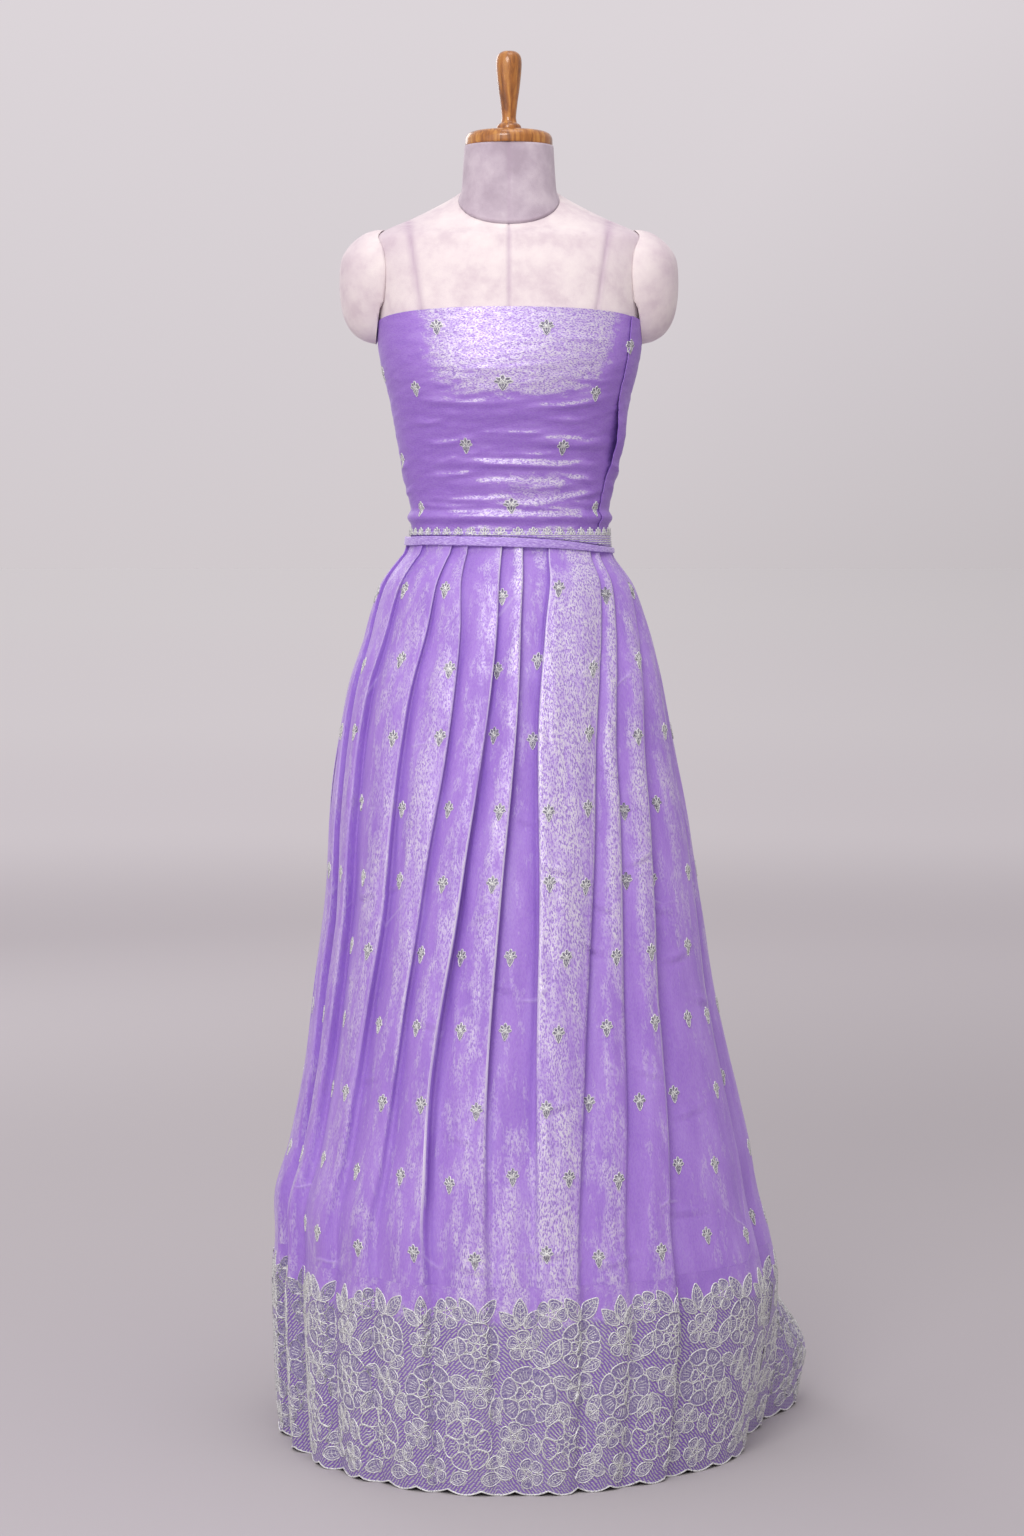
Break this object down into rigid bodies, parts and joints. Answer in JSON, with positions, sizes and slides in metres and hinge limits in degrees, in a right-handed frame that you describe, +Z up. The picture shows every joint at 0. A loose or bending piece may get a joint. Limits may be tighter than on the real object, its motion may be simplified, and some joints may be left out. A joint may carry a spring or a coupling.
{
  "type": "lehenga on dress form",
  "caption": "Strapless wrapped bodice and pleated floor-length skirt with an embroidered border, worn by a limbless dress form on a round foot.",
  "frame": {"origin": "on the floor at the centre of the stand's round foot", "axes": "+Z up, the garment's front faces -Y, +X to the right in the view from the front"},
  "size_m": [0.6503, 0.6697, 1.6405],
  "materials": {
    "organza": "metallic tissue organza with small woven silver motifs",
    "embroidered_organza": "tissue organza worked densely in silver thread",
    "band": "plain folded satin-like cloth",
    "form_cloth": "stretched cotton",
    "wood": "turned and varnished",
    "stand_metal": "satin"
  },
  "bodies": {
    "root": {"skirt_front": "organza", "skirt_back": "organza", "border_front": "embroidered_organza", "border_back": "embroidered_organza", "waistband": "band", "bodice_front": "organza", "bodice_back": "organza", "bodice_trim": "embroidered_organza", "form_torso": "form_cloth", "form_neck": "form_cloth", "form_pad_left": "form_cloth", "form_pad_right": "form_cloth", "neck_cap": "wood", "neck_knob": "wood", "form_board": "wood", "stand_pole": "stand_metal", "stand_foot": "stand_metal"}
  },
  "joints": []
}
